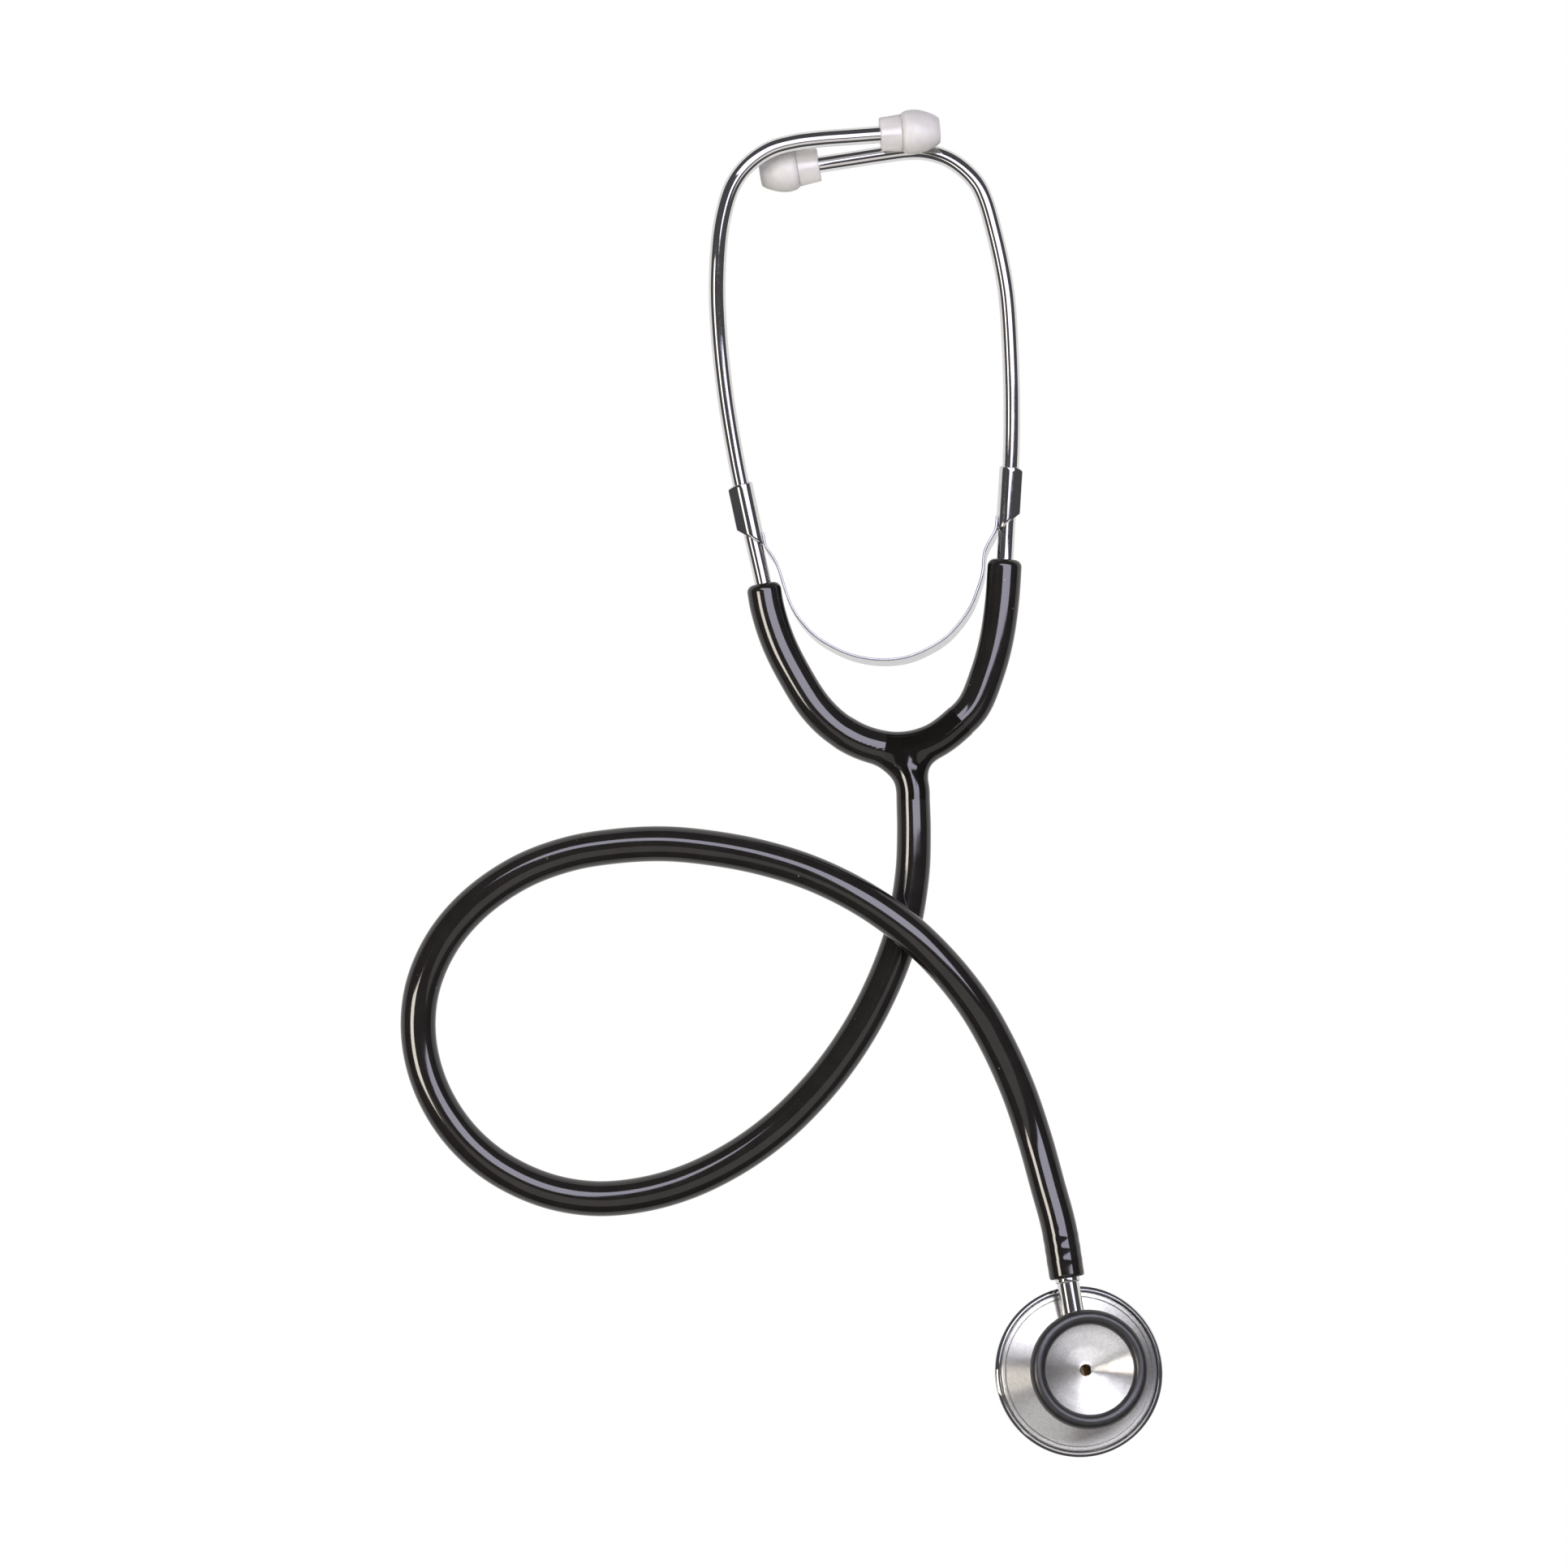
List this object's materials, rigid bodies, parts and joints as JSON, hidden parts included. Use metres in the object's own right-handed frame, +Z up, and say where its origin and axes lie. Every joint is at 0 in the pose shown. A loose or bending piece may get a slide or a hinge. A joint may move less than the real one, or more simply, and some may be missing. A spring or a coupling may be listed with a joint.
{
  "type": "stethoscope",
  "caption": "Dual-head stethoscope lying flat: sprung chrome headset with soft ear tips, black Y tubing in one loose loop, and a turning chestpiece with diaphragm and bell.",
  "frame": {"origin": "on the table, under the middle of the box round the headset and chestpiece, without the hose", "axes": "+Z up from the table, +Y from the chestpiece to the ear tips, +X to the right seen from above"},
  "size_m": [0.2037, 0.361, 0.0275],
  "materials": {
    "chromed_tube": "mirror chrome plating on drawn tube",
    "chromed_stem": "mirror chrome plating",
    "chromed_ring": "mirror chrome with a fine knurled side",
    "spring_steel": "bright nickel-plated spring strip",
    "detent_steel": "polished steel",
    "turned_alloy": "face turned, fine concentric lines",
    "black_tubing": "glossy moulded soft PVC",
    "black_rubber": "satin moulded rubber",
    "clear_plastic": "clear, slightly milky hard plastic",
    "milky_plastic": "soft translucent milky plastic",
    "membrane_sheet": "stiff satin plastic sheet"
  },
  "bodies": {
    "tubing": {"y_yoke": "black_tubing", "hose": "black_tubing", "spring_bow": "spring_steel", "stem": "chromed_stem", "stem_o_ring": "black_rubber", "stem_snap_ring": "spring_steel"},
    "left_headset": {"left_ear_tube": "chromed_tube", "left_spring_clasp": "spring_steel"},
    "right_headset": {"right_ear_tube": "chromed_tube", "right_spring_clasp": "spring_steel"},
    "left_eartip": {"left_eartip_insert": "clear_plastic", "left_eartip_bulb": "milky_plastic"},
    "right_eartip": {"right_eartip_insert": "clear_plastic", "right_eartip_bulb": "milky_plastic"},
    "head": {"chestpiece_body": "turned_alloy", "detent_ball": "detent_steel", "detent_spring": "detent_steel", "diaphragm_gasket": "black_rubber", "diaphragm_membrane": "membrane_sheet", "diaphragm_retaining_ring": "chromed_ring", "bell_ring": "black_rubber"}
  },
  "joints": [
    {"name": "left_opening", "type": "hinge", "parent": "tubing", "child": "left_headset", "pos_m": [-0.0325, 0.0429, 0.0047], "axis": [0, 0, 1], "range_deg": [0, 35], "stiffness_Nm_per_rad": 1.1, "deforming": ["y_yoke", "spring_bow"]},
    {"name": "right_opening", "type": "hinge", "parent": "tubing", "child": "right_headset", "pos_m": [0.004, 0.0429, 0.0047], "axis": [0, 0, -1], "range_deg": [0, 35], "stiffness_Nm_per_rad": 1.1, "deforming": ["y_yoke", "spring_bow"]},
    {"name": "head_turn", "type": "hinge", "parent": "tubing", "child": "head", "pos_m": [0.0386, -0.15665, 0.01395], "axis": [-0.1608, 0.9818, -0.1011], "continuous": true},
    {"name": "left_tip_pull", "type": "slide", "parent": "left_headset", "child": "left_eartip", "axis": [0.9965, 0.0747, -0.0374], "range_m": [0, 0.01]},
    {"name": "right_tip_pull", "type": "slide", "parent": "right_headset", "child": "right_eartip", "axis": [-0.9904, -0.1308, -0.0436], "range_m": [0, 0.01]}
  ],
  "couplings": [
    {"joint": "right_opening", "follows": "left_opening", "ratio": 1}
  ]
}
